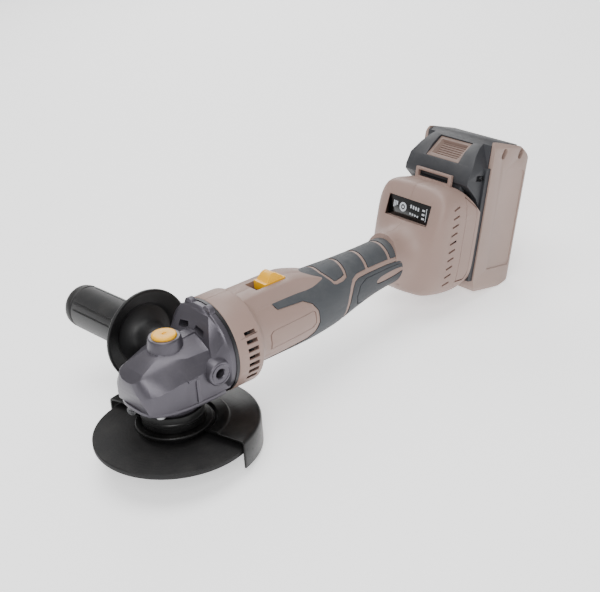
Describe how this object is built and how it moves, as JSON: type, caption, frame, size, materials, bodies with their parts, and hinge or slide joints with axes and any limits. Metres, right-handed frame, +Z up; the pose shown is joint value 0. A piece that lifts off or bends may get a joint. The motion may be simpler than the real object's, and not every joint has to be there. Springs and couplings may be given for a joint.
{
  "type": "cordless angle grinder",
  "caption": "Battery angle grinder with a gear head, slotted motor ring, slim rubber grip, display shoe, slide-on battery pack, side handle, disc and half guard.",
  "frame": {"origin": "under the middle of the tool, at the level of the guard's lower rim", "axes": "+X from the disc towards the battery along the motor, +Y towards the side handle, +Z up along the spindle, away from the disc"},
  "size_m": [0.3904, 0.2056, 0.1494],
  "materials": {
    "gear_case": "satin dark grey paint over cast metal",
    "steel": "plain steel",
    "dark_plate": "dark cast plate",
    "bronze": "sintered bronze",
    "core_steel": "stacked steel sheets",
    "copper": "enamelled copper wire",
    "board": "circuit board",
    "dark_plastic": "black moulding",
    "beige_plastic": "fine textured beige moulding",
    "grey_rubber": "soft overmoulding",
    "blue_lead": "wire insulation",
    "red_lead": "wire insulation",
    "display": "glossy dark window",
    "handle_black": "black textured moulding",
    "gear_steel": "hardened steel",
    "black_metal": "black coated steel",
    "abrasive": "bonded abrasive",
    "yellow_plastic": "yellow moulding",
    "pack_beige": "fine textured beige moulding",
    "pack_grey": "dark grey moulding",
    "cell_sleeve": null,
    "latch_brown": "brown beige moulding"
  },
  "bodies": {
    "frame": {"gear_housing": "gear_case", "bearing_cover": "gear_case", "cover_screws": "steel", "head_screws": "steel", "mounting_plate": "dark_plate", "spindle_bearing": "steel", "spindle_bush": "bronze", "front_bearing": "steel", "rear_bearing": "steel", "stator": "core_steel", "windings": "copper", "sensor_board": "board", "baffle": "dark_plastic", "housing_left": "beige_plastic", "housing_right": "beige_plastic", "rubber_left": "grey_rubber", "rubber_right": "grey_rubber", "housing_screws": "steel", "power_switch": "dark_plastic", "control_board": "board", "motor_leads": "blue_lead", "battery_leads": "red_lead", "terminal_block": "dark_plastic", "display_panel": "display", "display_board": "board", "side_handle": "handle_black", "handle_stud": "steel"},
    "spindle_set": {"spindle": "steel", "ring_gear": "gear_steel", "gear_circlip": "gear_steel", "inner_flange": "black_metal", "grinding_disc": "abrasive", "lock_nut": "black_metal"},
    "rotor_set": {"motor_shaft": "steel", "rotor": "core_steel", "fan": "dark_plastic", "pinion": "gear_steel"},
    "lock_set": {"lock_button": "yellow_plastic", "lock_plunger": "steel", "lock_spring": "steel"},
    "switch_set": {"switch_knob": "yellow_plastic", "switch_link": "dark_plastic"},
    "guard_set": {"guard": "black_metal", "guard_band": "black_metal", "clamp_screw": "steel", "clamp_nut": "steel"},
    "battery": {"pack_case": "pack_beige", "pack_top": "pack_grey", "pack_cells": "cell_sleeve", "cell_frame": "dark_plastic", "pack_board": "board", "pack_screws": "steel"},
    "latch": {"latch_button": "latch_brown", "latch_spring": "steel"}
  },
  "joints": [
    {"name": "spindle_spin", "type": "hinge", "parent": "frame", "child": "spindle_set", "pos_m": [-0.13766, -0.0443, 0.0071], "axis": [0, 0, 1], "continuous": true},
    {"name": "rotor_spin", "type": "hinge", "parent": "frame", "child": "rotor_set", "pos_m": [-0.07766, -0.0443, 0.0651], "axis": [1, 0, 0], "continuous": true},
    {"name": "lock_press", "type": "slide", "parent": "frame", "child": "lock_set", "axis": [0, 0, -1], "range_m": [0, 0.003], "stiffness_N_per_m": 1000, "springref_m": -0.001, "deforming": ["lock_spring"]},
    {"name": "switch_slide", "type": "slide", "parent": "frame", "child": "switch_set", "axis": [-1, 0, 0], "range_m": [0, 0.007]},
    {"name": "guard_turn", "type": "hinge", "parent": "frame", "child": "guard_set", "pos_m": [-0.13766, -0.0443, 0.0208], "axis": [0, 0, 1], "range_deg": [-75, 90]},
    {"name": "battery_slide", "type": "slide", "parent": "frame", "child": "battery", "axis": [0.2419, 0, 0.9703], "range_m": [0, 0.08]},
    {"name": "latch_press", "type": "slide", "parent": "battery", "child": "latch", "axis": [0.5, 0, -0.866], "range_m": [0, 0.003], "stiffness_N_per_m": 1500, "springref_m": -0.001, "deforming": ["latch_spring"]}
  ],
  "couplings": [
    {"joint": "rotor_spin", "follows": "spindle_spin", "ratio": 3.3636}
  ]
}
